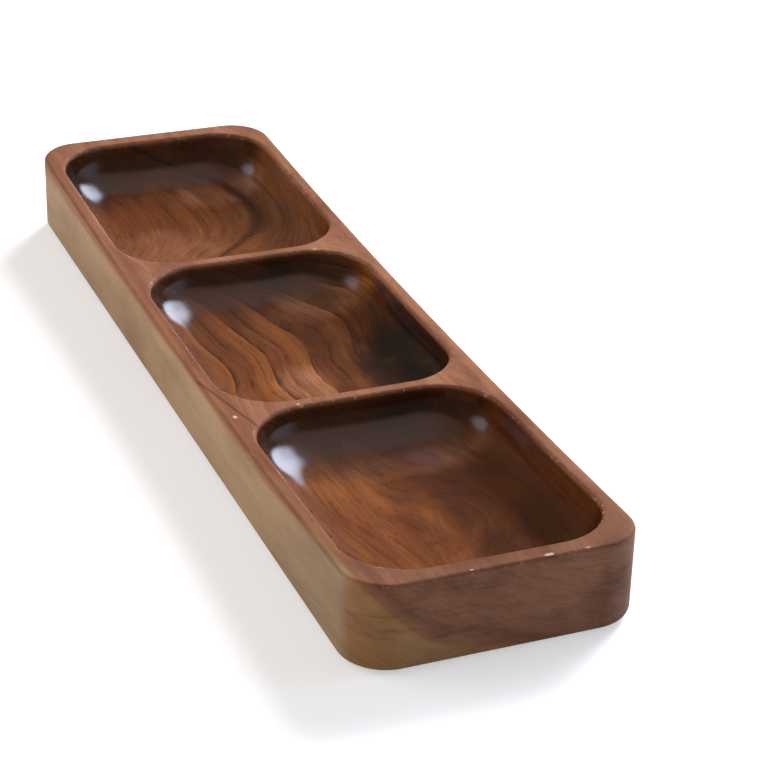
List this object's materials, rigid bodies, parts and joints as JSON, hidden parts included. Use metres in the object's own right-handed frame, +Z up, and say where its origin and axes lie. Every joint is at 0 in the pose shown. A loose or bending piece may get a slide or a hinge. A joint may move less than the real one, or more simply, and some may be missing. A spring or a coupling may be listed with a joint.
{
  "type": "three-compartment snack dish",
  "caption": "Long narrow wooden serving dish carved from one board, with rounded rectangular hollows in a row for nuts and other snacks, on small stick-on rubber pads.",
  "frame": {"origin": "on the surface that the dish stands on, under the middle of the dish", "axes": "+X along the dish, along the row of hollows; +Y across it, away from the long side with the pale sapwood; +Z up, out of the hollows"},
  "size_m": [0.4, 0.105, 0.0341],
  "materials": {
    "walnut": "clear lacquer, glossy in the hollows and satin on the rim and sides",
    "pad": "matte"
  },
  "bodies": {
    "root": {"dish_body": "walnut", "front_left_pad": "pad", "front_right_pad": "pad", "back_left_pad": "pad", "back_right_pad": "pad"}
  },
  "joints": []
}
